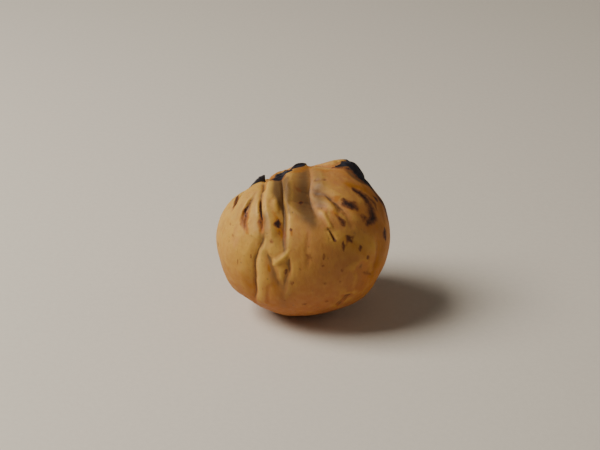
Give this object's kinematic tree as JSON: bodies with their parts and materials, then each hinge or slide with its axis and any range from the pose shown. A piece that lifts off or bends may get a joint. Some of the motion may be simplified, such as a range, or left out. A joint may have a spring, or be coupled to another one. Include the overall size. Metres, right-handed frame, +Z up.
{
  "type": "roasted chestnut",
  "caption": "Peeled, roasted sweet chestnut kernel, plump and deeply folded, with char along its crown and scorch spots, standing on a small flat of its base.",
  "frame": {"origin": "middle of the kernel's outline in plan, on the plane it stands on", "axes": "+Z up; +X along the kernel's greatest width, towards its tall, charred shoulder; -Y towards the face with the wide valley and the main groove"},
  "size_m": [0.033, 0.0286, 0.0291],
  "materials": {
    "nut_flesh": "dry, faintly waxy nut flesh, cream to tan, with black char on the crown and brown scorch spots"
  },
  "bodies": {
    "root": {"chestnut_kernel": "nut_flesh"}
  },
  "joints": []
}
